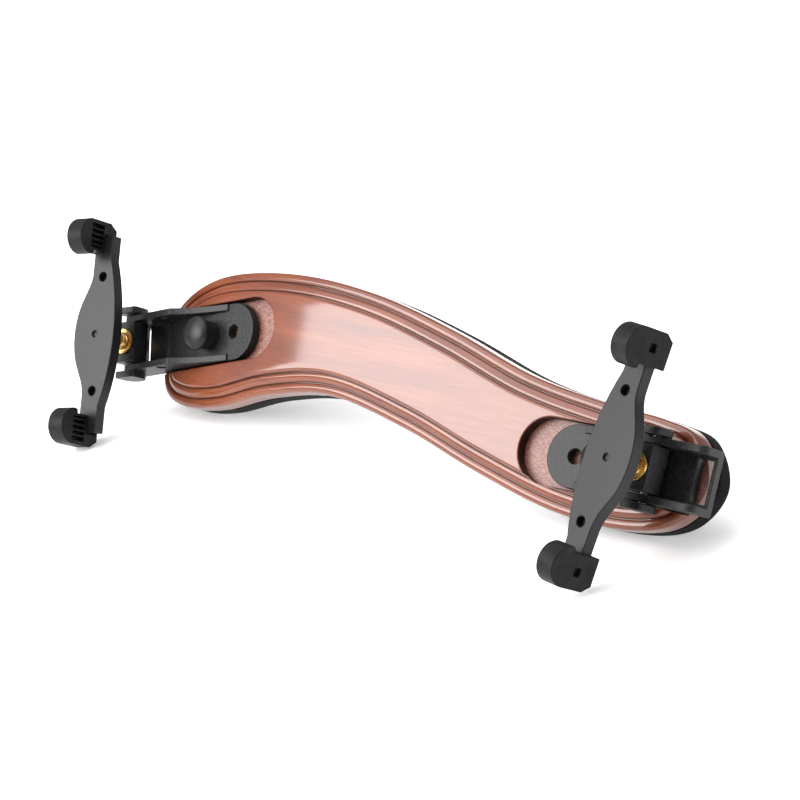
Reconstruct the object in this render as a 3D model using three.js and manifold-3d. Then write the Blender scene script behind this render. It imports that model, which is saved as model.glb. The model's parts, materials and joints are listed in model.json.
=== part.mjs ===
// Violin shoulder rest: an arched S-shaped wooden board with a foam pad under it, and at each end
// a bracket clamped in a slot, a folding hinge, a brass height screw and a fork with rubber claws.
// Millimetres. The model is built in the board's own axes (X along the board, Y across it, Z towards
// the violin, with Z = 0 at the fork faces) and then stood on its long edge, as it rests on a table.
import * as THREE from 'three';
import { mergeVertices } from 'three/addons/utils/BufferGeometryUtils.js';
import Module from 'manifold-3d';

const wasm = await Module();
wasm.setup();

const GAP = 0.3; // clearance between touching or nested parts
const DEG = Math.PI / 180;
const ROUND = 24; // facets round a small cylinder

// Board: the face is a shallow arch that also twists a little from end to end
const FACE_TOP = -19; // height of the face at the crown of the arch
const CROWN_X = 8;
const ARCH = 0.00048; // drop of the face is ARCH times the distance from the crown squared
const TWIST = Math.tan(2 * DEG) / 90; // rise of the face per millimetre along and across
const BOARD_THICK = 8.5;
const OUTLINE_STEPS = 5; // facets between two outline points
const LEFT_TIP = [-98.2, 2.3];
const RIGHT_TIP = [118.8, -1];
const UPPER_EDGE = [
  [-94.4, 15], [-81.6, 24.9], [-62.6, 30.3], [-36, 32.6], [-6, 30.8],
  [24, 25.2], [54, 17.8], [81, 14.8], [100.5, 14], [112.3, 11],
];
const LOWER_EDGE = [
  [-93.6, -12.4], [-83, -16.6], [-66, -14.2], [-44, -6.4], [-18, -2],
  [14, -6.2], [44, -13.3], [73, -18.6], [97.2, -18.6], [112.7, -13.2],
];

// Foam pad under the board
const FOAM_THICK = 7;

// Bracket, in its own axes: X outward from the clamp knob, Z = 0 on top of its base plate
const BRACKET_HALF = 9.2;
const BRACKET_NOSE = -11; // centre of the rounded inner end, also the spare clamp hole
const BRACKET_END = 33.8;
const BASE_THICK = 3;
const WALL_THICK = 2.2;
const WALL_TOP = 8;
const FACE_ABOVE_BASE = 0.6; // the board's face over the top of the base plate
const HINGE_INNER = 16.8; // the two places where the hinge can be fitted
const HINGE_OUTER = 30.5;
const HINGE_HEIGHT = 5.2;
const WINDOW_START = 28.2;
const SLOT_HALF = 9.7;

// Clamp
const STUD_R = 1.9;
const STUD_HOLE_R = 2.2;
const CLAMP_TRAVEL = 4; // how far the clamp can slide each way along the board
const NUT_SIZE = 9;
const NUT_THICK = 2;
const KNOB_R = 5.3;
const KNOB_TOP = 8.1;

// Hinge and height screw
const BARREL_R = 4.2;
const BLOCK_HALF = 6.6;
const BLOCK_TOP = 5.6;
const PIN_R = 1.3;
const PIN_HOLE_R = 1.6;
const PIN_START = 4.4;
const PIN_END = 10.8;
const CAP_START = 9.5;
const CAP_THICK = 2.2;
const CAP_R = 4;
const CAP_TOP = 5.2;
const SCREW_R = 2.5;
const INSERT_BORE_R = 2.8;
const INSERT_R = 3.4;
const FLANGE_R = 4.1;
const SCREW_BOTTOM = -1;

// Fork, in its own axes: X outward, Y along the fork, Z = 0 on the face towards the violin
const FORK_THICK = 4;
const BOSS_R = 5;
const BOSS_DEPTH = 3;
const NECK_OUTER = 3.1; // the fork's edges at its necks
const NECK_INNER = -4.2;
const NECK_START = 20; // where the fork's neck becomes straight
const NECK_END = 32;
const FORK_BULGE = 8.7;
const HOLE_R = 1.5;
const HOLE_Y = 18.6;
const CLAW_NEAR = -0.8; // the claw's inner and outer sides
const CLAW_FAR = 5.2;
const CLAW_NOSE = 24.9;
const CLAW_WEB = 26.5;
const CLAW_OUTER = 36.5;
const CLAW_BASE = -5.3;
const CLAW_TOP = 11.8;
const POCKET_DEPTH = 2.2;
const POCKET_LOW = 0.8;
const POCKET_HIGH = 6.4;
const RIB_COUNT = 4;
const RIB_PITCH = 1.75;
const RIB_THICK = 0.6;

// Each end: where the knob stands on the board, which way its bracket points, and its settings
const ENDS = [
  { name: 'left', knob: [-75.2, 7.3], heading: 196, tilt: -4.2, twist: 2, slotBack: 20.1,
    hinge: HINGE_OUTER, lean: -9, faceHeight: 20, turn: -4 },
  { name: 'right', knob: [88.4, -1.6], heading: 2.4, tilt: 4.2, twist: -2, slotBack: 20.1,
    hinge: HINGE_INNER, lean: -11.5, faceHeight: 18.4, turn: -7.5 },
];

// Standing pose, in degrees: it rests on the pad's edge under both lobes and on the left lower claw,
// and these turns bring those three points level with each other
const STAND_LEAN = 59.07;
const STAND_BANK = -0.783;

const PAINT = {
  wood: { color: 0xa8583c, roughness: 0.25, metalness: 0 },
  foam: { color: 0x1c1c1d, roughness: 0.95, metalness: 0 },
  plastic: { color: 0x2b2b2d, roughness: 0.55, metalness: 0 },
  rubber: { color: 0x39393b, roughness: 0.7, metalness: 0 },
  brass: { color: 0xc9a24a, roughness: 0.3, metalness: 1 },
  steel: { color: 0xa9abad, roughness: 0.35, metalness: 1 },
};

// ---- Solids and booleans ----

function solid(geometry) {
  const bare = geometry.clone();
  bare.deleteAttribute('normal');
  bare.deleteAttribute('uv');
  const merged = mergeVertices(bare, 1e-4);
  return new wasm.Manifold(new wasm.Mesh({
    numProp: 3,
    vertProperties: new Float32Array(merged.attributes.position.array),
    triVerts: new Uint32Array(merged.index.array),
  }));
}

function geometryOf(manifold) {
  const mesh = manifold.getMesh();
  const geometry = new THREE.BufferGeometry();
  geometry.setAttribute('position', new THREE.BufferAttribute(mesh.vertProperties, 3));
  geometry.setIndex(new THREE.BufferAttribute(mesh.triVerts, 1));
  geometry.computeVertexNormals();
  return geometry;
}

function join(...parts) {
  return parts.reduce((whole, part) => whole.add(part));
}

function cut(body, ...tools) {
  return tools.reduce((whole, tool) => whole.subtract(tool), body);
}

function box(x0, x1, y0, y1, z0, z1) {
  const geometry = new THREE.BoxGeometry(x1 - x0, y1 - y0, z1 - z0);
  return solid(geometry.translate((x0 + x1) / 2, (y0 + y1) / 2, (z0 + z1) / 2));
}

function post(x, y, radius, z0, z1, segments = ROUND) {
  const geometry = new THREE.CylinderGeometry(radius, radius, z1 - z0, segments);
  return solid(geometry.rotateX(Math.PI / 2).translate(x, y, (z0 + z1) / 2));
}

function crossPost(x, z, radius, y0, y1, segments = ROUND) {
  const geometry = new THREE.CylinderGeometry(radius, radius, y1 - y0, segments);
  return solid(geometry.translate(x, (y0 + y1) / 2, z));
}

// An outline drawn in X and Y, standing from z0 to z1
function plate(shape, z0, z1, curveSegments = 8) {
  const geometry = new THREE.ExtrudeGeometry(shape, { depth: z1 - z0, bevelEnabled: false, curveSegments });
  return solid(geometry.translate(0, 0, z0));
}

// An outline drawn in X and Z, standing from y0 to y1
function sideProfile(shape, y0, y1, curveSegments = 8) {
  const geometry = new THREE.ExtrudeGeometry(shape, { depth: y1 - y0, bevelEnabled: false, curveSegments });
  return solid(geometry.rotateX(Math.PI / 2).translate(0, y1, 0));
}

function turned(points, segments = ROUND) {
  const outline = points.map(([r, z]) => new THREE.Vector2(r, z));
  return solid(new THREE.LatheGeometry(outline, segments).rotateX(Math.PI / 2));
}

// A slot outline from a round inner end to a square outer end
function slotShape(noseX, endX, half) {
  const shape = new THREE.Shape();
  shape.moveTo(noseX, -half);
  shape.lineTo(endX, -half);
  shape.lineTo(endX, half);
  shape.lineTo(noseX, half);
  shape.absarc(noseX, 0, half, Math.PI / 2, Math.PI * 1.5, false);
  return shape;
}

function mesh(name, manifold, paint) {
  const made = new THREE.Mesh(geometryOf(manifold), new THREE.MeshStandardMaterial(PAINT[paint]));
  made.name = name;
  return made;
}

// ---- Board and pad ----

function faceHeight(x, y) {
  return FACE_TOP - ARCH * (x - CROWN_X) ** 2 - TWIST * x * y;
}

// The closed outline, as points that run along the upper edge and back along the lower one
const outline = new THREE.SplineCurve(
  [LEFT_TIP, ...UPPER_EDGE, RIGHT_TIP, ...LOWER_EDGE.slice().reverse(), LEFT_TIP]
    .map(([x, y]) => new THREE.Vector2(x, y)),
);
const OUTLINE_COUNT = (UPPER_EDGE.length + LOWER_EDGE.length + 2) * OUTLINE_STEPS;
const outlinePoints = Array.from({ length: OUTLINE_COUNT }, (_, k) => outline.getPoint(k / OUTLINE_COUNT));

// The outline moved inward, with a height over the face for each ring
function ring(inset, height) {
  return outlinePoints.map((point, k) => {
    const before = outlinePoints[(k + OUTLINE_COUNT - 1) % OUTLINE_COUNT];
    const after = outlinePoints[(k + 1) % OUTLINE_COUNT];
    const along = after.clone().sub(before).normalize();
    const x = point.x + along.y * inset;
    const y = point.y - along.x * inset;
    return [x, y, faceHeight(x, y) + height];
  });
}

// Closes rings, from the lowest inner one round the edge to the highest inner one, into one body
function ringBody(rings) {
  const count = OUTLINE_COUNT;
  const half = count / 2;
  const triangles = [];
  for (let r = 0; r + 1 < rings.length; r += 1) {
    for (let k = 0; k < count; k += 1) {
      const next = (k + 1) % count;
      const a = r * count;
      const b = a + count;
      triangles.push(a + k, b + k, a + next, a + next, b + k, b + next);
    }
  }
  const top = (rings.length - 1) * count;
  for (let k = 0; k < half; k += 1) {
    const back = (count - k) % count;
    const lower = count - k - 1;
    if (k > 0) triangles.push(top + k, top + back, top + lower);
    if (k + 1 < half) triangles.push(top + k, top + lower, top + k + 1);
    if (k > 0) triangles.push(k, lower, back);
    if (k + 1 < half) triangles.push(k, k + 1, lower);
  }
  const geometry = new THREE.BufferGeometry();
  geometry.setAttribute('position', new THREE.Float32BufferAttribute(rings.flat(2), 3));
  geometry.setIndex(triangles);
  return solid(geometry);
}

function endFrame(end) {
  const frame = new THREE.Group();
  const [x, y] = end.knob;
  frame.position.set(x, y, faceHeight(x, y) - FACE_ABOVE_BASE);
  frame.rotation.set(end.twist * DEG, end.tilt * DEG, end.heading * DEG);
  frame.updateMatrixWorld();
  return frame;
}

function placed(manifold, frame) {
  return solid(geometryOf(manifold).applyMatrix4(frame.matrixWorld));
}

// What is cut out of the board at one end: the bracket's slot, the stud's slot and the nut's channel
function slotTools(end) {
  const frame = endFrame(end);
  const bed = -BASE_THICK - GAP;
  const nutHalf = NUT_SIZE / 2 + GAP;
  const nutTop = bed - 2;
  const tools = [
    plate(slotShape(-end.slotBack, 80, SLOT_HALF), bed, 20, 12),
    box(-CLAMP_TRAVEL - STUD_HOLE_R, CLAMP_TRAVEL + STUD_HOLE_R, -STUD_HOLE_R, STUD_HOLE_R, -20, bed + 1),
    box(-CLAMP_TRAVEL - nutHalf, CLAMP_TRAVEL + nutHalf, -nutHalf, nutHalf, -20, nutTop),
  ];
  return tools.map((tool) => placed(tool, frame));
}

function woodBoard() {
  const body = ringBody([
    ring(2, -BOARD_THICK),
    ring(0, -BOARD_THICK + 1),
    ring(0, -3.4),
    ring(0.8, -2.3),
    ring(4, -1.3),
    ring(6.4, 0),
  ]);
  return mesh('wood_board', cut(body, ...ENDS.flatMap(slotTools)), 'wood');
}

function foamPad() {
  const top = -BOARD_THICK - GAP;
  const body = ringBody([
    ring(4, top - FOAM_THICK),
    ring(1.3, top - FOAM_THICK * 0.96),
    ring(0, top - FOAM_THICK * 0.8),
    ring(0.3, top - FOAM_THICK * 0.08),
    ring(2, top),
  ]);
  return mesh('foam_pad', body, 'foam');
}

// ---- Bracket and clamp ----

function bracket(name) {
  const base = plate(slotShape(BRACKET_NOSE, BRACKET_END, BRACKET_HALF), -BASE_THICK, 0, 12);
  const side = new THREE.Shape();
  side.moveTo(-9, -1);
  side.lineTo(BRACKET_END, -1);
  side.lineTo(BRACKET_END, WALL_TOP - 3);
  side.quadraticCurveTo(BRACKET_END, WALL_TOP, BRACKET_END - 3, WALL_TOP);
  side.lineTo(11, WALL_TOP);
  side.quadraticCurveTo(4, 2.6, -9, 0.8);
  const inner = BRACKET_HALF - WALL_THICK;
  const walls = [sideProfile(side, inner, BRACKET_HALF), sideProfile(side, -BRACKET_HALF, -inner)];
  const pad = box(HINGE_INNER + 2.4, WINDOW_START, -inner, inner, -1, 0.6);
  const holes = [HINGE_INNER, HINGE_OUTER].map((x) => crossPost(x, HINGE_HEIGHT, PIN_HOLE_R, -12, 12));
  const clampHoles = [0, BRACKET_NOSE].map((x) => post(x, 0, STUD_HOLE_R, -10, 10));
  const window = box(WINDOW_START, BRACKET_END - 1.2, -inner + 0.8, inner - 0.8, -10, 2);
  return mesh(name, cut(join(base, ...walls, pad), ...holes, ...clampHoles, window), 'plastic');
}

function clampKnob(name) {
  const body = turned([
    [0, GAP], [4.6, GAP], [4.7, 4.4], [KNOB_R, 4.9], [KNOB_R, 6.4],
    [4.7, 7.3], [3, KNOB_TOP - 0.2], [0, KNOB_TOP],
  ]);
  return mesh(name, cut(body, post(0, 0, STUD_HOLE_R, -1, 5.6)), 'plastic');
}

function clampStud(name) {
  return mesh(name, post(0, 0, STUD_R, -7.4, 5.3, 16), 'steel');
}

function clampNut(name) {
  const top = -BASE_THICK - GAP - 2 - GAP;
  const half = NUT_SIZE / 2;
  const body = box(-half, half, -half, half, top - NUT_THICK, top);
  return mesh(name, cut(body, post(0, 0, STUD_HOLE_R, -20, 0, 16)), 'steel');
}

// ---- Hinge ----

function hingeBlock(name) {
  const barrel = crossPost(0, 0, BARREL_R, -BLOCK_HALF, BLOCK_HALF);
  const upstand = box(-BARREL_R, BARREL_R, -BLOCK_HALF, BLOCK_HALF, 0, BLOCK_TOP);
  const bore = post(0, 0, INSERT_R + GAP, -10, 10);
  const pinHole = crossPost(0, 0, PIN_HOLE_R, -10, 10);
  return mesh(name, cut(join(barrel, upstand), bore, pinHole), 'plastic');
}

function threadedInsert(name) {
  const flangeLow = BLOCK_TOP + GAP;
  const body = turned([
    [INSERT_BORE_R, SCREW_BOTTOM], [INSERT_R, SCREW_BOTTOM], [INSERT_R, flangeLow],
    [FLANGE_R, flangeLow], [FLANGE_R, flangeLow + 0.8], [INSERT_BORE_R, flangeLow + 0.8],
    [INSERT_BORE_R, SCREW_BOTTOM],
  ]);
  return mesh(name, body, 'brass');
}

function hingePin(name, side) {
  const [y0, y1] = side > 0 ? [PIN_START, PIN_END] : [-PIN_END, -PIN_START];
  return mesh(name, crossPost(0, 0, PIN_R, y0, y1, 16), 'steel');
}

function hingeCap(name, side) {
  const shape = new THREE.Shape();
  shape.moveTo(-CAP_R, 0);
  shape.absarc(0, 0, CAP_R, Math.PI, 2 * Math.PI, false);
  shape.lineTo(CAP_R, CAP_TOP - 1.5);
  shape.quadraticCurveTo(CAP_R, CAP_TOP, CAP_R - 1.5, CAP_TOP);
  shape.lineTo(-CAP_R + 1.5, CAP_TOP);
  shape.quadraticCurveTo(-CAP_R, CAP_TOP, -CAP_R, CAP_TOP - 1.5);
  const low = side > 0 ? CAP_START : -CAP_START - CAP_THICK;
  const body = sideProfile(shape, low, low + CAP_THICK);
  const reach = PIN_END + GAP;
  const socket = side > 0 ? crossPost(0, 0, PIN_HOLE_R, 0, reach, 16) : crossPost(0, 0, PIN_HOLE_R, -reach, 0, 16);
  return mesh(name, cut(body, socket), 'plastic');
}

// ---- Height screw and fork ----

function heightScrew(name, end) {
  return mesh(name, post(0, 0, SCREW_R, SCREW_BOTTOM, end.faceHeight - 1.8), 'brass');
}

function forkPlate(name) {
  const shape = new THREE.Shape();
  shape.moveTo(NECK_INNER, -NECK_END);
  shape.lineTo(NECK_OUTER, -NECK_END);
  shape.lineTo(NECK_OUTER, -NECK_START);
  shape.bezierCurveTo(NECK_OUTER, -14, FORK_BULGE, -11, FORK_BULGE, 0);
  shape.bezierCurveTo(FORK_BULGE, 11, NECK_OUTER, 14, NECK_OUTER, NECK_START);
  shape.lineTo(NECK_OUTER, NECK_END);
  shape.lineTo(NECK_INNER, NECK_END);
  shape.lineTo(NECK_INNER, NECK_START + 4);
  shape.quadraticCurveTo(-12, 0, NECK_INNER, -NECK_START - 4);
  const body = plate(shape, -FORK_THICK, 0, 14);
  const boss = post(0, 0, BOSS_R, -FORK_THICK - BOSS_DEPTH, -1);
  const socket = post(0, 0, SCREW_R + GAP, -20, -1.8 + GAP);
  const dimple = post(0, 0, 1, -0.9, 5, 16);
  const holes = [-HOLE_Y, HOLE_Y].map((y) => post(-1.2, y, HOLE_R, -2.6, 5, 16));
  return mesh(name, cut(join(body, boss), socket, dimple, ...holes), 'plastic');
}

// A rubber claw, drawn for the +Y end: a D-shaped nose that hooks inward over a ribbed web,
// on a base that slips over the fork's neck from the outer side
function clawSolid() {
  const noseR = (CLAW_OUTER - CLAW_NOSE) / 2;
  const noseY = CLAW_OUTER - noseR;
  const noseZ = CLAW_TOP - noseR;
  const shape = new THREE.Shape();
  shape.moveTo(CLAW_OUTER - 2, CLAW_BASE);
  shape.lineTo(CLAW_OUTER, CLAW_BASE + 3);
  shape.lineTo(CLAW_OUTER, noseZ);
  shape.absarc(noseY, noseZ, noseR, 0, Math.PI, false);
  shape.lineTo(CLAW_NOSE + 0.3, noseZ - 1);
  shape.lineTo(CLAW_WEB, noseZ - 1.4);
  shape.lineTo(CLAW_WEB, CLAW_BASE);
  const depth = CLAW_FAR - CLAW_NEAR;
  const geometry = new THREE.ExtrudeGeometry(shape, { depth, bevelEnabled: false, curveSegments: 14 });
  const upright = new THREE.Matrix4().makeBasis(
    new THREE.Vector3(0, 1, 0), new THREE.Vector3(0, 0, 1), new THREE.Vector3(1, 0, 0),
  );
  const body = solid(geometry.translate(0, 0, CLAW_NEAR).applyMatrix4(upright));
  const pocketEnd = CLAW_OUTER - 1.4;
  const pocket = box(CLAW_NEAR - 1, CLAW_NEAR + POCKET_DEPTH, CLAW_WEB + 0.9, pocketEnd, POCKET_LOW, POCKET_HIGH);
  const socket = box(-20, NECK_OUTER + GAP, 0, NECK_END + GAP, -FORK_THICK - GAP, GAP);
  const dent = box(CLAW_FAR - 1.4, 20, 30.3, 32.7, 0.4, 2.8);
  const ribs = Array.from({ length: RIB_COUNT }, (_, k) => {
    const y = pocketEnd - 1.3 - k * RIB_PITCH;
    return box(CLAW_NEAR, CLAW_FAR - 2, y - RIB_THICK, y, POCKET_LOW - 0.3, POCKET_HIGH + 0.3);
  });
  return cut(join(cut(body, pocket), ...ribs), socket, dent);
}

function claw(name, side) {
  const geometry = geometryOf(clawSolid());
  if (side < 0) {
    geometry.scale(1, -1, 1);
    const index = geometry.index.array;
    for (let k = 0; k < index.length; k += 3) {
      [index[k], index[k + 1]] = [index[k + 1], index[k]];
    }
    geometry.computeVertexNormals();
  }
  const made = new THREE.Mesh(geometry, new THREE.MeshStandardMaterial(PAINT.rubber));
  made.name = name;
  return made;
}

// ---- One end, and the whole rest ----

function buildEnd(end) {
  const frame = endFrame(end);
  const label = (part) => `${end.name}_${part}`;
  frame.add(
    bracket(label('bracket')),
    clampNut(label('clamp_nut')),
    clampKnob(label('clamp_knob')),
    clampStud(label('clamp_stud')),
  );

  const hinge = new THREE.Group();
  hinge.position.set(end.hinge, 0, HINGE_HEIGHT);
  hinge.rotation.y = end.lean * DEG;
  // The left bracket points the other way, so its upper parts lie on its own -Y side
  const upper = end.name === 'left' ? -1 : 1;
  hinge.add(
    hingeBlock(label('hinge_block')),
    threadedInsert(label('threaded_insert')),
    hingePin(label('hinge_pin_upper'), upper),
    hingePin(label('hinge_pin_lower'), -upper),
    hingeCap(label('hinge_cap_upper'), upper),
    hingeCap(label('hinge_cap_lower'), -upper),
    heightScrew(label('height_screw'), end),
  );
  frame.add(hinge);

  const fork = new THREE.Group();
  fork.position.z = end.faceHeight;
  fork.rotation.z = end.turn * DEG;
  fork.add(
    forkPlate(label('fork_plate')),
    claw(label('claw_upper'), upper),
    claw(label('claw_lower'), -upper),
  );
  hinge.add(fork);
  return frame;
}

const standing = new THREE.Group();
standing.rotation.set(STAND_LEAN * DEG, STAND_BANK * DEG, 0);
standing.add(woodBoard(), foamPad(), ...ENDS.map(buildEnd));

const group = new THREE.Group();
group.add(standing);
group.updateMatrixWorld(true);

// Origin at the middle of the footprint, on the table
const bounds = new THREE.Box3().setFromObject(group, true);
const middle = bounds.getCenter(new THREE.Vector3());
standing.position.set(-middle.x, -middle.y, -bounds.min.z);
group.updateMatrixWorld(true);

export default group;
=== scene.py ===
"""Looks of a violin shoulder rest.

The lacquered board, its foam, the clamp knobs and the brass screws are made here. The other hard parts
keep their engineered shape and get the small moulded radii that real plastic, rubber and metal have.
"""
import json
import math

import bmesh
import bpy
from mathutils import Matrix, Vector, noise


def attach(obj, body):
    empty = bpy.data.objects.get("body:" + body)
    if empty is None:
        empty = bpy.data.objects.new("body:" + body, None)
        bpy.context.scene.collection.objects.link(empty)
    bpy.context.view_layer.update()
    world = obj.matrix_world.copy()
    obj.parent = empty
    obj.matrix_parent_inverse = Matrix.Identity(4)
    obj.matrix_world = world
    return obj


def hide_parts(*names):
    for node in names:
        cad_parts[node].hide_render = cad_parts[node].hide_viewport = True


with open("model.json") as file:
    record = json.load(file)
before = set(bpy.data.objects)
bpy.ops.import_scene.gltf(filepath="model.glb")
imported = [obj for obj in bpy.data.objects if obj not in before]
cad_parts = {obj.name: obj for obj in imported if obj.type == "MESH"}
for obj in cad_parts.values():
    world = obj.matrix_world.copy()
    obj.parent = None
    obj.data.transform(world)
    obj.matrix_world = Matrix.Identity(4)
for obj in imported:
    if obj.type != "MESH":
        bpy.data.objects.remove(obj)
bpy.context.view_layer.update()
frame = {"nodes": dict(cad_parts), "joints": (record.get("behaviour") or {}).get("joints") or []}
NODES = frame["nodes"]
JOINTS = {joint["name"]: joint for joint in frame["joints"]}
MM = 0.001

# ---- The board's plan, arch and edge, in millimetres in the board's own axes ----

STAND_LEAN = 59.07  # degrees that the board leans back on its foam
STAND_BANK = -0.783  # and tips to one end
LEFT_KNOB = (-75.2, 7.3)
KNOB_SEAT = 0.6  # depth of the knobs' own axes under the face
FACE_TOP = -19  # height of the face at the crown of the arch
CROWN_X = 8
ARCH = 0.00048  # drop of the face is ARCH times the distance from the crown squared
TWIST = math.tan(math.radians(2)) / 90  # the face turns 2 degrees in 90 mm
BOARD_THICK = 8.5
OUTLINE_STEPS = 12  # facets between two outline points
LEFT_TIP = (-98.2, 2.3)
RIGHT_TIP = (118.8, -1)
UPPER_EDGE = [
    (-94.4, 15), (-81.6, 24.9), (-62.6, 30.3), (-36, 32.6), (-6, 30.8),
    (24, 25.2), (54, 17.8), (81, 14.8), (100.5, 14), (112.3, 11),
]
LOWER_EDGE = [
    (-93.6, -12.4), (-83, -16.6), (-66, -14.2), (-44, -6.4), (-18, -2),
    (14, -6.2), (44, -13.3), (73, -18.6), (97.2, -18.6), (112.7, -13.2),
]

# The routed edge as inset from the outline and height over the face, from the bottom up and in:
# a square side, a bead, a V groove, a wider step, a second V groove and the rounded edge of the face
BOARD_EDGE = [
    (3.2, -8.5), (0.6, -8.5), (0.2, -8.35), (0, -7.9), (0, -3.4), (0.08, -2.95), (0.3, -2.5), (0.65, -2.2),
    (1.1, -2.02), (1.6, -1.95), (2.1, -1.98), (2.5, -2.1), (2.78, -2.3), (2.95, -2.62), (3.1, -2.62),
    (3.22, -2.15), (3.5, -1.75), (3.95, -1.42), (4.5, -1.2), (5.1, -1.1), (5.6, -1.12), (5.95, -1.25),
    (6.15, -1.5), (6.28, -1.5), (6.36, -0.95), (6.5, -0.45), (6.8, -0.15), (7.3, 0),
]

# The bottoms of the two V grooves, which the maple darkens as painted shade
GROOVES = [(2.95, -2.62), (3.1, -2.62), (6.15, -1.5), (6.28, -1.5)]

# The foam's edge, from its glued top round to its underside
FOAM_EDGE = [
    (4, 0), (0.6, 0), (0.2, -0.15), (0.05, -0.6), (0, -1.5), (0, -4.4), (0.04, -5.3), (0.18, -5.72),
    (0.5, -6.02), (1.1, -6.45), (2.1, -6.78), (4, -6.95), (6.5, -7),
]
FOAM_CELL = 0.5
GLUE_GAP = 0.3
BELLY = 0.35  # the foam's underside hangs this much lower in its middle, give or take the wave
BELLY_WAVE = 0.25
BELLY_WAVE_LONG = 16
BELLY_WAVE_WIDE = 11

# Bracket slot in the board, in the bracket's axes: its round nose lies SLOT_BACK behind the knob
SLOT_HALF = 9.7
SLOT_BACK = 20.1
SLOT_FLOOR = -3.3
SLOT_OPEN = 60  # past the board's end
SLOT_SIDE_STEPS = 24
SLOT_NOSE_STEPS = 32
SLOT_LIP = [(0.6, 2), (0.6, 0.03), (0.4, -0.05), (0.2, -0.18), (0.06, -0.38), (0, -0.65)]
LIP_FACES = 3  # strips of the lip that keep the face's lacquer
CLAMP_TRAVEL = 4
STUD_HOLE_R = 2.2
NUT_ROOM = 4.8
NUT_ROOM_TOP = SLOT_FLOOR - 2
UNDER_BOARD = -20

# Knob, screw and fork
KNOB_PROFILE = [
    (4.45, 0.3), (4.6, 0.45), (4.72, 4.1), (4.8, 4.42), (5.2, 4.62), (5.38, 4.95), (5.38, 5.9), (5.28, 6.3),
    (4.95, 6.75), (4.35, 7.2), (3.5, 7.58), (2.4, 7.88), (1.2, 8.05), (0, 8.1),
]
SCREW_R = 2.5
SCREW_BOTTOM = -1
THREAD_PITCH = 0.8
THREAD_DEPTH = 0.32
FORK_FACE = {"left": 20, "right": 18.4}  # height of the fork's face over the hinge
FORK_SKIN = 1.8  # plastic left over the screw's end


# ---- Small tools ----

def linear(code):
    """An sRGB hex colour as linear red, green, blue and alpha."""
    parts = [int(code[k:k + 2], 16) / 255 for k in (1, 3, 5)]
    return (*[c / 12.92 if c <= 0.04045 else ((c + 0.055) / 1.055) ** 2.4 for c in parts], 1)


def add(tree, kind, settings=None, **links):
    """Adds a node, sets its properties and sockets, and links the other nodes' sockets that are given.

    A link's name is the socket's, with __ for a space, or _ and its number.
    """
    made = tree.nodes.new(kind)
    for name, value in (settings or {}).items():
        if isinstance(name, int) or name in made.inputs:
            made.inputs[name].default_value = value
        else:
            setattr(made, name, value)
    for name, source in links.items():
        key = int(name[1:]) if name[0] == "_" else name.replace("__", " ")
        tree.links.new(source, made.inputs[key])
    return made


def joint_frame(origin, x_axis, z_axis):
    """The matrix that puts millimetres in a joint's own axes into the frame."""
    z = Vector(z_axis).normalized()
    x = (Vector(x_axis) - z * z.dot(Vector(x_axis))).normalized()
    y = z.cross(x)
    turn = Matrix((x, y, z)).transposed().to_4x4()
    return Matrix.Translation(Vector(origin)) @ turn @ Matrix.Scale(MM, 4)


def bracket_frame(side):
    knob = JOINTS[f"{side}_knob_turn"]
    return joint_frame(knob["pos_m"], JOINTS[f"{side}_bracket_slide"]["axis"], knob["axis"])


def hinge_frame(side):
    fold = JOINTS[f"{side}_fold"]
    z = Vector(JOINTS[f"{side}_height"]["axis"])
    return joint_frame(fold["pos_m"], Vector(fold["axis"]).cross(z), z)


def face_height(x, y):
    return FACE_TOP - ARCH * (x - CROWN_X) ** 2 - TWIST * x * y


def board_frame():
    """The board's own axes in the frame, found from the left knob, which stands on its face."""
    lean = Matrix.Rotation(math.radians(STAND_LEAN), 4, "X")
    bank = Matrix.Rotation(math.radians(STAND_BANK), 4, "Y")
    turn = lean @ bank @ Matrix.Scale(MM, 4)
    base = Vector((*LEFT_KNOB, face_height(*LEFT_KNOB) - KNOB_SEAT))
    return Matrix.Translation(Vector(JOINTS["left_knob_turn"]["pos_m"]) - turn @ base) @ turn


BOARD = board_frame()


def smooth(mesh, angle=38):
    mesh.shade_smooth()
    mesh.set_sharp_from_angle(angle=math.radians(angle))


def new_object(name, mesh):
    made = bpy.data.objects.new(name, mesh)
    bpy.context.scene.collection.objects.link(made)
    return made


def applied(piece):
    """Turns the piece's modifiers into its plain mesh."""
    result = bpy.data.meshes.new_from_object(piece.evaluated_get(bpy.context.evaluated_depsgraph_get()))
    piece.modifiers.clear()
    piece.data = result
    return piece


def settle(piece, body, node, material):
    """Gives a finished piece its finish and its body, and hides the node it stands for."""
    if not piece.data.materials:
        piece.data.materials.append(material)
    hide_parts(node)
    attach(piece, body)
    return piece


# ---- Finishes ----

def finish_tree(name):
    """A new material with one shader, and its coordinates in metres."""
    made = bpy.data.materials.new(name)
    made.use_nodes = True
    tree = made.node_tree
    tree.nodes.clear()
    shader = add(tree, "ShaderNodeBsdfPrincipled")
    add(tree, "ShaderNodeOutputMaterial", Surface=shader.outputs[0])
    place = add(tree, "ShaderNodeTexCoord")
    return made, tree, shader, place.outputs["Object"]


def grain(tree, place, along, across, detail=4, turn=-STAND_LEAN):
    """Noise whose features are this long and this wide, in millimetres, along the board."""
    size = (1000 / along, 1000 / across, 1000 / across)
    turned = add(tree, "ShaderNodeMapping", {"Rotation": (math.radians(turn), 0, 0)}, Vector=place)
    scaled = add(tree, "ShaderNodeMapping", {"Scale": size}, Vector=turned.outputs[0])
    noisy = add(tree, "ShaderNodeTexNoise", {"Scale": 1, "Detail": detail}, Vector=scaled.outputs[0])
    return noisy.outputs[0]


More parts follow.
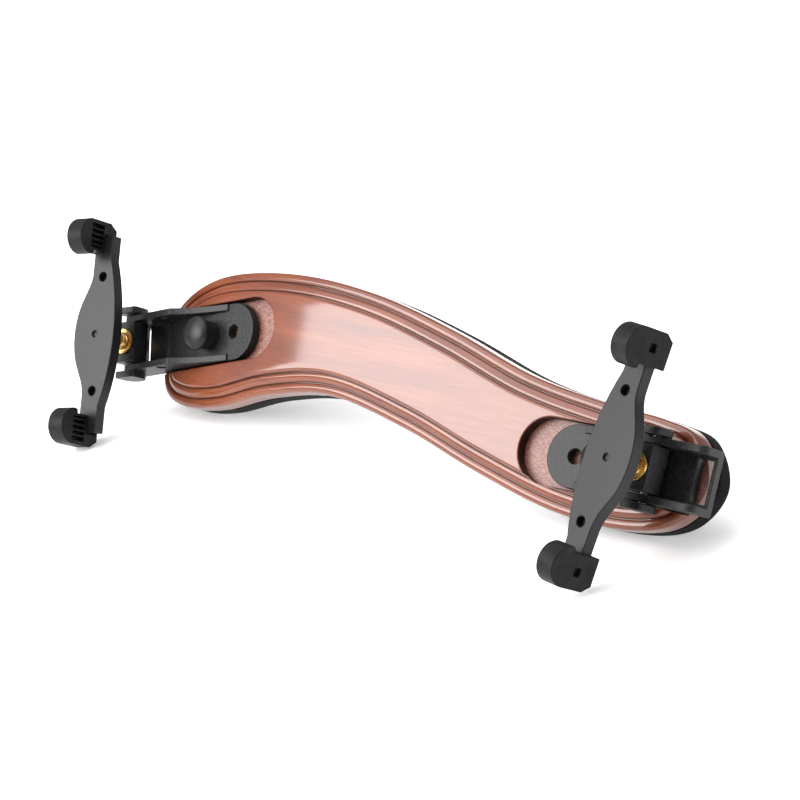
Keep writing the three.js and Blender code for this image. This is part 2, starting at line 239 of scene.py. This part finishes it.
def ramp(tree, value, stops):
    """A colour ramp through (position, hex colour) stops."""
    made = add(tree, "ShaderNodeValToRGB", Fac=value)
    elements = made.color_ramp.elements
    while len(elements) < len(stops):
        elements.new(0.5)
    for element, (position, code) in zip(elements, stops):
        element.position = position
        element.color = linear(code)
    return made.outputs[0]


def lift(tree, shader, height, distance, strength):
    """Bump of this height in millimetres."""
    settings = {"Distance": distance * MM, "Strength": strength}
    made = add(tree, "ShaderNodeBump", settings, Height=height)
    tree.links.new(made.outputs[0], shader.inputs["Normal"])


def set_sockets(shader, **values):
    for name, value in values.items():
        shader.inputs[name.replace("_", " ")].default_value = value


def lacquered_maple():
    """Maple stained red-brown under polished lacquer: fine streaks and wet highlights, with painted shade
    darkening the bottoms of the V grooves.
    """
    made, tree, shader, place = finish_tree("lacquered_maple")
    fibres = grain(tree, place, 22, 0.55, 5)
    figure = grain(tree, place, 55, 6, 3)
    blend = add(tree, "ShaderNodeMix", {"data_type": "FLOAT", 0: 0.34}, _2=figure, _3=fibres)
    stain_and_groove_shade = ramp(tree, blend.outputs[0], [
        (0.30, "#54210d"), (0.44, "#632a10"), (0.55, "#6e3315"), (0.70, "#793e1f"),
    ])
    # painted shade: the bottoms of the V grooves are mixed towards almost black
    groove_shade = add(tree, "ShaderNodeAttribute", {"attribute_name": "groove"}).outputs["Fac"]
    stain_and_groove_shade = add(tree, "ShaderNodeMix", {"data_type": "RGBA", 7: linear("#1d0803")}, _0=groove_shade, _6=stain_and_groove_shade)
    tree.links.new(stain_and_groove_shade.outputs[2], shader.inputs["Base Color"])
    set_sockets(shader, Roughness=0.36, IOR=1.5, Specular_IOR_Level=0.25)
    set_sockets(shader, Coat_Weight=0.8, Coat_Roughness=0.07)
    lift(tree, shader, fibres, 0.02, 0.5)
    return made


def slot_wall_shade_paint():
    """The slot's sawn wall: end grain that takes a dark stain, coloured almost black as painted shade for
    the wall in shade.
    """
    made, tree, shader, place = finish_tree("slot_wall_painted_shade")
    tree.links.new(ramp(tree, grain(tree, place, 6, 1.2), [(0.35, "#120603"), (0.65, "#2c1107")]),
                   shader.inputs["Base Color"])
    set_sockets(shader, Roughness=0.5, IOR=1.5, Specular_IOR_Level=0.2)
    set_sockets(shader, Coat_Weight=0.1, Coat_Roughness=0.3)
    return made


def routed_floor():
    """The slot's routed floor: one thin coat over cutter marks and fuzz, so it is paler and only satin."""
    made, tree, shader, place = finish_tree("routed_maple")
    speckle = grain(tree, place, 0.9, 0.5, 6)
    tree.links.new(ramp(tree, speckle, [(0.36, "#613224"), (0.5, "#744537"), (0.64, "#8c6256")]),
                   shader.inputs["Base Color"])
    set_sockets(shader, Roughness=0.5, IOR=1.5, Coat_Weight=0.3, Coat_Roughness=0.35)
    lift(tree, shader, speckle, 0.12, 0.7)
    return made


def closed_cell_foam():
    """Closed-cell foam rubber: dead black and dry, with cut cells half a millimetre across."""
    made, tree, shader, place = finish_tree("closed_cell_foam")
    cells = add(tree, "ShaderNodeTexVoronoi", {"Scale": 1000 / FOAM_CELL}, Vector=place).outputs[0]
    tone = grain(tree, place, 9, 6, 3, 0)
    tree.links.new(ramp(tree, tone, [(0.35, "#090909"), (0.65, "#131314")]), shader.inputs["Base Color"])
    set_sockets(shader, Roughness=0.9, IOR=1.45, Specular_IOR_Level=0.15)
    set_sockets(shader, Sheen_Weight=0.03, Sheen_Roughness=0.5)
    lift(tree, shader, cells, 0.16, 0.7)
    return made


def moulded_nylon(name, dark, light, roughness, speck):
    """Nylon from a spark-eroded mould: a fine sand grain, with pale specks where glass fibre shows."""
    made, tree, shader, place = finish_tree(name)
    sand = grain(tree, place, speck, speck, 3, 0)
    tree.links.new(ramp(tree, sand, [(0.38, dark), (0.66, light)]), shader.inputs["Base Color"])
    span = {"To Min": roughness - 0.06, "To Max": roughness + 0.08}
    rough = add(tree, "ShaderNodeMapRange", span, Value=sand)
    tree.links.new(rough.outputs[0], shader.inputs["Roughness"])
    set_sockets(shader, IOR=1.53, Specular_IOR_Level=0.24)
    lift(tree, shader, sand, 0.05, 0.6)
    return made


def claw_rubber():
    """Moulded synthetic rubber: charcoal with a soft satin bloom and faint handling smears."""
    made, tree, shader, place = finish_tree("synthetic_rubber")
    smear = grain(tree, place, 5, 3, 4, 0)
    tree.links.new(ramp(tree, smear, [(0.35, "#101011"), (0.68, "#1e1e20")]), shader.inputs["Base Color"])
    rough = add(tree, "ShaderNodeMapRange", {"To Min": 0.38, "To Max": 0.56}, Value=smear)
    tree.links.new(rough.outputs[0], shader.inputs["Roughness"])
    set_sockets(shader, IOR=1.52, Specular_IOR_Level=0.12)
    lift(tree, shader, grain(tree, place, 0.4, 0.4, 2, 0), 0.02, 0.4)
    return made


def turned_metal(name, dark, light, roughness):
    """Lathe-turned metal: fine tool lines that break up its highlights."""
    made, tree, shader, place = finish_tree(name)
    lines = grain(tree, place, 3, 0.25, 3)
    tree.links.new(ramp(tree, lines, [(0.35, dark), (0.65, light)]), shader.inputs["Base Color"])
    set_sockets(shader, Metallic=1.0, Roughness=roughness)
    lift(tree, shader, lines, 0.01, 0.4)
    return made


MAPLE = lacquered_maple()
SLOT_WALL_SHADE = slot_wall_shade_paint()
ROUTED = routed_floor()
FOAM = closed_cell_foam()
NYLON = moulded_nylon("glass_filled_nylon", "#0e0e0f", "#2c2c2e", 0.42, 0.5)
FORK_NYLON = moulded_nylon("smooth_nylon", "#161617", "#1c1c1e", 0.36, 0.7)
RUBBER = claw_rubber()
BRASS = turned_metal("turned_brass", "#c79d55", "#ecd08c", 0.3)
STEEL = turned_metal("zinc_plated_steel", "#8b8e90", "#b4b6b8", 0.32)


# ---- Board and foam ----

def outline_points():
    """The closed plan outline as one smooth curve through its points."""
    points = [Vector(p) for p in [LEFT_TIP, *UPPER_EDGE, RIGHT_TIP, *reversed(LOWER_EDGE), LEFT_TIP]]
    made = []
    for k in range(len(points) - 1):
        before = points[max(k - 1, 0)]
        start, end = points[k], points[k + 1]
        after = points[min(k + 2, len(points) - 1)]
        for step in range(OUTLINE_STEPS):
            t = step / OUTLINE_STEPS
            pull_in, pull_out = (end - before) * 0.5, (after - start) * 0.5
            cubic = (start - end) * 2 + pull_in + pull_out
            square = (end - start) * 3 - pull_in * 2 - pull_out
            made.append(cubic * t ** 3 + square * t ** 2 + pull_in * t + start)
    return made


OUTLINE = outline_points()


def inset_point(k, inset):
    along = (OUTLINE[(k + 1) % len(OUTLINE)] - OUTLINE[k - 1]).normalized()
    return OUTLINE[k] + Vector((along.y, -along.x)) * inset


def moulded_slab(edge, columns, ripple=None):
    """A body with this edge all round the outline, closed above and below by grids that follow the arch."""
    shape = bmesh.new()
    # marks the groove bottoms for the maple's painted shade
    groove_shade = shape.verts.layers.float.new("groove")
    count, half = len(OUTLINE), len(OUTLINE) // 2

    def vertex(x, y, height, inner=0.0):
        extra = ripple(x, y) * inner if ripple else 0
        return shape.verts.new((x, y, face_height(x, y) + height + extra))

    rings = []
    for step in edge:
        rings.append([vertex(*inset_point(k, step[0]), step[1]) for k in range(count)])
        for v in rings[-1]:
            v[groove_shade] = 1.0 if step in GROOVES else 0.0
    for low, high in zip(rings, rings[1:]):
        for k in range(count):
            after = (k + 1) % count
            shape.faces.new((low[k], low[after], high[after], high[k]))
    for ring, height, bottom in ((rings[0], edge[0][1], edge[0][1] < edge[-1][1]),
                                 (rings[-1], edge[-1][1], edge[-1][1] < edge[0][1])):
        rows = []
        for k in range(1, half):
            upper, lower = ring[k], ring[count - k]
            row = [upper]
            for column in range(1, columns):
                share = column / columns
                middle = upper.co.lerp(lower.co, share)
                row.append(vertex(middle.x, middle.y, height, math.sin(share * math.pi) if bottom else 0))
            rows.append([*row, lower])
        for row, after in zip(rows, rows[1:]):
            for c in range(columns):
                shape.faces.new((row[c], row[c + 1], after[c + 1], after[c]))
        for tip, row in ((ring[0], rows[0]), (ring[half], rows[-1])):
            for c in range(columns):
                shape.faces.new((tip, row[c], row[c + 1]))
    bmesh.ops.recalc_face_normals(shape, faces=shape.faces)
    mesh = bpy.data.meshes.new("slab")
    shape.to_mesh(mesh)
    shape.free()
    mesh.transform(BOARD)
    return mesh


def slot_cutter(side):
    """The bracket's slot: a flat floor, upright walls and a lip that rounds over onto the arched face."""
    local = bracket_frame(side)
    to_board = BOARD.inverted() @ local
    shape = bmesh.new()

    def slot_ring(swell, height, floor=False):
        half = SLOT_HALF + swell
        stride = (SLOT_OPEN + SLOT_BACK) / SLOT_SIDE_STEPS
        sides = [SLOT_OPEN - stride * k for k in range(SLOT_SIDE_STEPS)]
        turns = [math.pi / 2 * (1 - 2 * k / SLOT_NOSE_STEPS) for k in range(SLOT_NOSE_STEPS + 1)]
        nose = [(-SLOT_BACK - half * math.cos(t), half * math.sin(t)) for t in turns]
        plan = [(x, half) for x in sides] + nose + [(x, -half) for x in reversed(sides)]
        ring = []
        for x, y in plan:
            if floor:
                ring.append(shape.verts.new(local @ Vector((x, y, SLOT_FLOOR))))
            else:
                on = to_board @ Vector((x, y, 0))
                ring.append(shape.verts.new(BOARD @ Vector((on.x, on.y, face_height(on.x, on.y) + height))))
        return ring

    rings = [slot_ring(*step) for step in SLOT_LIP] + [slot_ring(0, 0, True)]
    for number, (high, low) in enumerate(zip(rings, rings[1:])):
        for k in range(len(high)):
            face = shape.faces.new((high[k], high[k - 1], low[k - 1], low[k]))
            # the wall strips under the lip take the almost black painted shade of the slot wall
            face.material_index = 1 if number >= LIP_FACES else 0
    shape.faces.new(rings[0])
    shape.faces.new(list(reversed(rings[-1]))).material_index = 2
    bmesh.ops.recalc_face_normals(shape, faces=shape.faces)
    mesh = bpy.data.meshes.new("slot")
    shape.to_mesh(mesh)
    shape.free()
    return mesh


def block_cutter(side, half_x, half_y, top):
    """A plain opening under the slot, for the clamp's stud or nut."""
    shape = bmesh.new()
    bmesh.ops.create_cube(shape, size=2)
    for v in shape.verts:
        v.co = (v.co.x * half_x, v.co.y * half_y, top if v.co.z > 0 else UNDER_BOARD)
        v.co = bracket_frame(side) @ v.co
    # the opening's sides take the slot wall's almost black painted shade
    for face in shape.faces:
        face.material_index = 1
    mesh = bpy.data.meshes.new("opening")
    shape.to_mesh(mesh)
    shape.free()
    return mesh


def carve(piece, meshes):
    for mesh in meshes:
        for finish in (MAPLE, SLOT_WALL_SHADE, ROUTED):
            mesh.materials.append(finish)
        tool = new_object("tool", mesh)
        cut = piece.modifiers.new("cut", "BOOLEAN")
        cut.operation = "DIFFERENCE"
        cut.object = tool
        cut.solver = "EXACT"
        cut.material_mode = "TRANSFER"
        applied(piece)
        bpy.data.objects.remove(tool)


def make_board():
    board = new_object("lacquered_board", moulded_slab(BOARD_EDGE, 10))
    for finish in (MAPLE, SLOT_WALL_SHADE, ROUTED):
        board.data.materials.append(finish)
    for side in ("left", "right"):
        reach = CLAMP_TRAVEL + STUD_HOLE_R
        carve(board, [
            slot_cutter(side),
            block_cutter(side, reach, STUD_HOLE_R, SLOT_FLOOR + 0.5),
            block_cutter(side, CLAMP_TRAVEL + NUT_ROOM, NUT_ROOM, NUT_ROOM_TOP),
        ])
    smooth(board.data, 32)
    normals = board.modifiers.new("normals", "WEIGHTED_NORMAL")
    normals.keep_sharp = True
    applied(board)
    return settle(board, "board", "wood_board", MAPLE)


def make_foam():
    """Foam glued under the board. Its underside bellies a little between its edges."""
    top = -BOARD_THICK - GLUE_GAP

    def belly(x, y):
        wave = noise.noise(Vector((x / BELLY_WAVE_LONG, y / BELLY_WAVE_WIDE, 3)))
        return -BELLY + BELLY_WAVE * wave

    edge = [(inset, top + height) for inset, height in FOAM_EDGE]
    foam = new_object("foam_padding", moulded_slab(edge, 14, belly))
    smooth(foam.data, 50)
    settle(foam, "board", "foam_pad", FOAM)
    return foam


# ---- Brackets, hinges, forks and claws ----

def softened(node, name, body, finish, width, segments=2):
    """A copy of a node with its flat facets joined up and a small radius, in millimetres, on its edges."""
    shape = bmesh.new()
    shape.from_mesh(NODES[node].data)
    bmesh.ops.remove_doubles(shape, verts=shape.verts, dist=0.002 * MM)
    bmesh.ops.dissolve_limit(shape, angle_limit=math.radians(1), verts=shape.verts, edges=shape.edges)
    mesh = bpy.data.meshes.new(name)
    shape.to_mesh(mesh)
    shape.free()
    mesh.materials.clear()
    for extra in ("custom_normal", "sharp_edge", "sharp_face"):
        if extra in mesh.attributes:
            mesh.attributes.remove(mesh.attributes[extra])
    piece = new_object(name, mesh)
    radius = piece.modifiers.new("radius", "BEVEL")
    radius.width = width * MM
    radius.segments = segments
    radius.limit_method = "ANGLE"
    radius.angle_limit = math.radians(32)
    radius.use_clamp_overlap = False
    radius.harden_normals = True
    mesh.shade_smooth()
    applied(piece)
    return settle(piece, body, node, finish)


def spun(name, profile, place, steps=64):
    """A solid turned from radius and height pairs, closed at its foot."""
    shape = bmesh.new()
    rings = []
    for radius, height in [(0, profile[0][1]), *profile]:
        if radius == 0:
            rings.append([shape.verts.new((0, 0, height))] * steps)
            continue
        ring = []
        for k in range(steps):
            angle = 2 * math.pi * k / steps
            ring.append(shape.verts.new((radius * math.cos(angle), radius * math.sin(angle), height)))
        rings.append(ring)
    for low, high in zip(rings, rings[1:]):
        for k in range(steps):
            corners = [low[k - 1], low[k], high[k], high[k - 1]]
            shape.faces.new(list(dict.fromkeys(corners)))
    bmesh.ops.recalc_face_normals(shape, faces=shape.faces)
    mesh = bpy.data.meshes.new(name)
    shape.to_mesh(mesh)
    shape.free()
    mesh.transform(place)
    smooth(mesh, 40)
    return new_object(name, mesh)


def thread_tree():
    """A round bar with a helical thread on it, rising from its foot."""
    tree = bpy.data.node_groups.new("screw_thread", "GeometryNodeTree")
    tree.interface.new_socket("Geometry", in_out="OUTPUT", socket_type="NodeSocketGeometry")
    for name, value in (("Bar Radius", 0.0022), ("Ridge", 0.0003), ("Pitch", 0.0008), ("Length", 0.018)):
        socket = tree.interface.new_socket(name, in_out="INPUT", socket_type="NodeSocketFloat")
        socket.default_value = value
    finish = tree.interface.new_socket("Metal", in_out="INPUT", socket_type="NodeSocketMaterial")
    finish.default_value = BRASS
    given = add(tree, "NodeGroupInput").outputs
    radius, ridge, pitch, length, metal = (given[k] for k in range(5))
    turns = add(tree, "ShaderNodeMath", {"operation": "DIVIDE"}, _0=length, _1=pitch).outputs[0]
    spiral = add(tree, "GeometryNodeCurveSpiral", {"Resolution": 40},
                 Rotations=turns, Start__Radius=radius, End__Radius=radius, Height=length).outputs[0]
    section = add(tree, "GeometryNodeCurvePrimitiveCircle", {"Resolution": 6}, Radius=ridge).outputs[0]
    thread = add(tree, "GeometryNodeCurveToMesh", {"Fill Caps": True}, Curve=spiral, Profile__Curve=section)
    bar = add(tree, "GeometryNodeMeshCylinder", {"Vertices": 40}, Radius=radius, Depth=length).outputs[0]
    half = add(tree, "ShaderNodeMath", {"operation": "MULTIPLY", 1: 0.5}, _0=length).outputs[0]
    middle = add(tree, "ShaderNodeCombineXYZ", Z=half).outputs[0]
    bar = add(tree, "GeometryNodeTransform", Geometry=bar, Translation=middle).outputs[0]
    joined = add(tree, "GeometryNodeJoinGeometry", Geometry=bar)
    tree.links.new(thread.outputs[0], joined.inputs[0])
    real = add(tree, "GeometryNodeRealizeInstances", Geometry=joined.outputs[0]).outputs[0]
    painted = add(tree, "GeometryNodeSetMaterial", Geometry=real, Material=metal).outputs[0]
    add(tree, "NodeGroupOutput", Geometry=painted)
    return tree


def make_screw(side, tree):
    length = FORK_FACE[side] - FORK_SKIN - SCREW_BOTTOM
    piece = new_object(f"{side}_threaded_screw", bpy.data.meshes.new("screw"))
    modifier = piece.modifiers.new("thread", "NODES")
    modifier.node_group = tree
    sizes = {
        "Bar Radius": SCREW_R - THREAD_DEPTH, "Ridge": THREAD_DEPTH,
        "Pitch": THREAD_PITCH, "Length": length,
    }
    for item in tree.interface.items_tree:
        if item.name in sizes:
            modifier[item.identifier] = sizes[item.name] * MM
        elif item.name == "Metal":
            modifier[item.identifier] = BRASS
    applied(piece)
    foot = Matrix.Translation(Vector((0, 0, SCREW_BOTTOM * MM)))
    piece.data.transform(hinge_frame(side) @ Matrix.Scale(1 / MM, 4) @ foot)
    smooth(piece.data, 40)
    return settle(piece, f"{side}_screw", f"{side}_height_screw", BRASS)


def make_end(side, tree):
    knob = spun(f"{side}_domed_knob", KNOB_PROFILE, bracket_frame(side))
    settle(knob, f"{side}_knob", f"{side}_clamp_knob", FORK_NYLON)
    make_screw(side, tree)
    parts = [
        ("bracket", "channel_bracket", "bracket", "plastic", NYLON, 0.3, 2),
        ("clamp_nut", "square_nut", "bracket", "steel", STEEL, 0.2, 2),
        ("clamp_stud", "steel_stud", "knob", "steel", STEEL, 0.15, 2),
        ("hinge_block", "folding_block", "hinge", "plastic", NYLON, 0.25, 2),
        ("threaded_insert", "flanged_insert", "hinge", "brass", BRASS, 0.12, 2),
        ("hinge_pin_upper", "upper_pin", "hinge", "steel", STEEL, 0.15, 2),
        ("hinge_pin_lower", "lower_pin", "hinge", "steel", STEEL, 0.15, 2),
        ("hinge_cap_upper", "upper_cap", "hinge", "plastic", NYLON, 0.3, 3),
        ("hinge_cap_lower", "lower_cap", "hinge", "plastic", NYLON, 0.3, 3),
        ("fork_plate", "fork", "fork", "plastic", FORK_NYLON, 0.35, 3),
        ("claw_upper", "upper_claw", "fork", "rubber", RUBBER, 0.22, 2),
        ("claw_lower", "lower_claw", "fork", "rubber", RUBBER, 0.22, 2),
    ]
    for node, name, body, slot, finish, width, segments in parts:
        softened(f"{side}_{node}", f"{side}_{name}", f"{side}_{body}", finish, width, segments)


make_board()
make_foam()
THREAD = thread_tree()
for end in ("left", "right"):
    make_end(end, THREAD)


# ---- Floor, light and camera ----

CAMERA_AZIMUTH = 43.86
CAMERA_ELEVATION = 22.81
CAMERA_ROLL = -6.74
CAMERA_DISTANCE = 0.723
CAMERA_TARGET = Vector((0.02551, -0.00919, 0.03608))
CAMERA_LENS = 113.6
FLOOR_HALF = 6
LIGHT_AIM = Vector((0, 0, 0.03))
ROOM_HORIZON = 0.06  # how bright the room is level with the rest, and overhead
ROOM_ZENITH = 1.1


def white_acrylic():
    """A satin white acrylic table lit softly from below, so that shadows on it stay pale."""
    made, tree, shader, place = finish_tree("backlit_white_acrylic")
    tree.links.new(ramp(tree, grain(tree, place, 2, 2, 3, 0), [(0.3, "#f4f4f4"), (0.7, "#f8f8f8")]),
                   shader.inputs["Base Color"])
    set_sockets(shader, Roughness=0.9, IOR=1.3, Emission_Color=(1, 1, 1, 1), Emission_Strength=0.28)
    return made


def make_floor():
    mesh = bpy.data.meshes.new("floor")
    corners = [(x * FLOOR_HALF, y * FLOOR_HALF, 0) for x, y in ((-1, -1), (1, -1), (1, 1), (-1, 1))]
    mesh.from_pydata(corners, [], [(0, 1, 2, 3)])
    mesh.materials.append(white_acrylic())
    new_object("floor", mesh)


def softbox(name, place, width, depth, power):
    lamp = bpy.data.lights.new(name, "AREA")
    lamp.shape = "RECTANGLE"
    lamp.size, lamp.size_y = width, depth
    lamp.energy = power
    made = new_object(name, lamp)
    made.location = place
    made.rotation_euler = (LIGHT_AIM - Vector(place)).to_track_quat("-Z", "Y").to_euler()


def make_camera():
    azimuth, elevation = math.radians(CAMERA_AZIMUTH), math.radians(CAMERA_ELEVATION)
    back = Vector((math.sin(azimuth), -math.cos(azimuth), 0)) * math.cos(elevation)
    back.z = math.sin(elevation)
    lens = bpy.data.cameras.new("camera")
    lens.lens = CAMERA_LENS
    lens.sensor_width = 36
    made = new_object("camera", lens)
    made.location = CAMERA_TARGET + back * CAMERA_DISTANCE
    level = (-back).to_track_quat("-Z", "Y").to_matrix()
    roll = Matrix.Rotation(math.radians(CAMERA_ROLL), 3, "Z")
    made.rotation_euler = (level @ roll).to_euler()
    bpy.context.scene.camera = made


def make_world():
    """A white backdrop to the eye. What lights the rest is a room with a pale ceiling and dark walls."""
    world = bpy.data.worlds.new("studio")
    world.use_nodes = True
    tree = world.node_tree
    way = add(tree, "ShaderNodeTexCoord").outputs["Generated"]
    height = add(tree, "ShaderNodeSeparateXYZ", Vector=way).outputs["Z"]
    span = {"To Min": ROOM_HORIZON, "To Max": ROOM_ZENITH}
    room = add(tree, "ShaderNodeMapRange", span, Value=height).outputs[0]
    seen = add(tree, "ShaderNodeLightPath").outputs["Is Camera Ray"]
    strength = add(tree, "ShaderNodeMapRange", {"To Max": 1.0}, Value=seen, To__Min=room)
    tree.links.new(strength.outputs[0], tree.nodes["Background"].inputs["Strength"])
    tree.nodes["Background"].inputs["Color"].default_value = (1, 1, 1, 1)
    bpy.context.scene.world = world
    bpy.context.scene.view_settings.view_transform = "Standard"


make_floor()
make_world()
softbox("overhead_softbox", (-0.25, -0.3, 1.15), 1.3, 1.3, 15.5)
softbox("front_left_softbox", (-0.46, -0.77, 0.47), 0.8, 0.5, 13.5)
make_camera()
